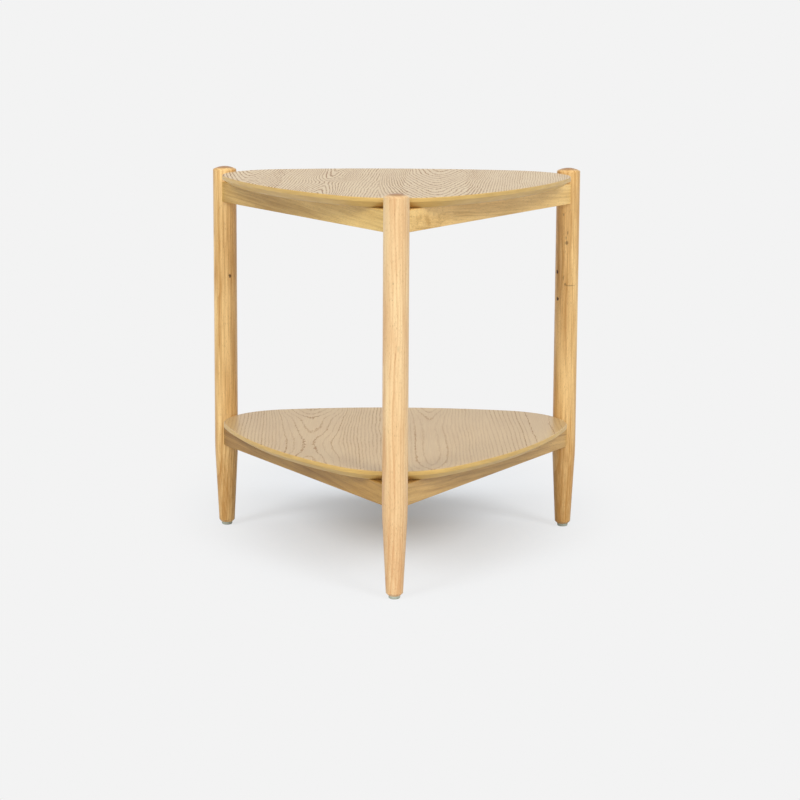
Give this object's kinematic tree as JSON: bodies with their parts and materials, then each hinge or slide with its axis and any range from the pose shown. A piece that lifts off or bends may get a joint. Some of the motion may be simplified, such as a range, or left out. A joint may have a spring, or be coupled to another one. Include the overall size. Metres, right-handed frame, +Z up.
{
  "type": "side table",
  "caption": "Side table with round tapered legs in a triangle and two tiers of rounded triangular veneered boards on rails.",
  "frame": {"origin": "middle of the table's bounding box, on the floor", "axes": "+Z up; the front leg points along -Y, and +X is to the right seen from the front"},
  "size_m": [0.551, 0.5292, 0.55],
  "materials": {
    "leg_wood": "satin clear lacquer on blond hardwood",
    "rail_wood": "satin clear lacquer on blond hardwood",
    "block_wood": "sanded, unfinished",
    "board_edge": "stained and lacquered, smooth",
    "face_veneer": "open-pored satin lacquer, crown-cut grain",
    "backing_veneer": "plain sealed veneer",
    "zinc_steel": "bright zinc plate",
    "yellow_zinc_steel": "yellow zinc plate",
    "nail_steel": "bright wire steel",
    "insert_metal": "turned brass",
    "glide_plastic": "matt grey-green nylon"
  },
  "bodies": {
    "root": {"foot_glide_front": "glide_plastic", "foot_glide_left": "glide_plastic", "foot_glide_right": "glide_plastic", "glide_nails": "nail_steel", "leg_front": "leg_wood", "leg_left": "leg_wood", "leg_right": "leg_wood", "shelf_backing_veneer": "backing_veneer", "shelf_block_screws": "yellow_zinc_steel", "shelf_board_core": "board_edge", "shelf_board_screws": "yellow_zinc_steel", "shelf_corner_block_front": "block_wood", "shelf_corner_block_left": "block_wood", "shelf_corner_block_right": "block_wood", "shelf_face_veneer": "face_veneer", "shelf_flat_washers": "zinc_steel", "shelf_leg_bolts": "zinc_steel", "shelf_leg_inserts": "insert_metal", "shelf_rail_back": "rail_wood", "shelf_rail_left": "rail_wood", "shelf_rail_right": "rail_wood", "shelf_spring_washers": "zinc_steel", "top_backing_veneer": "backing_veneer", "top_block_screws": "yellow_zinc_steel", "top_board_core": "board_edge", "top_board_screws": "yellow_zinc_steel", "top_corner_block_front": "block_wood", "top_corner_block_left": "block_wood", "top_corner_block_right": "block_wood", "top_face_veneer": "face_veneer", "top_flat_washers": "zinc_steel", "top_leg_bolts": "zinc_steel", "top_leg_inserts": "insert_metal", "top_rail_back": "rail_wood", "top_rail_left": "rail_wood", "top_rail_right": "rail_wood", "top_spring_washers": "zinc_steel"}
  },
  "joints": []
}
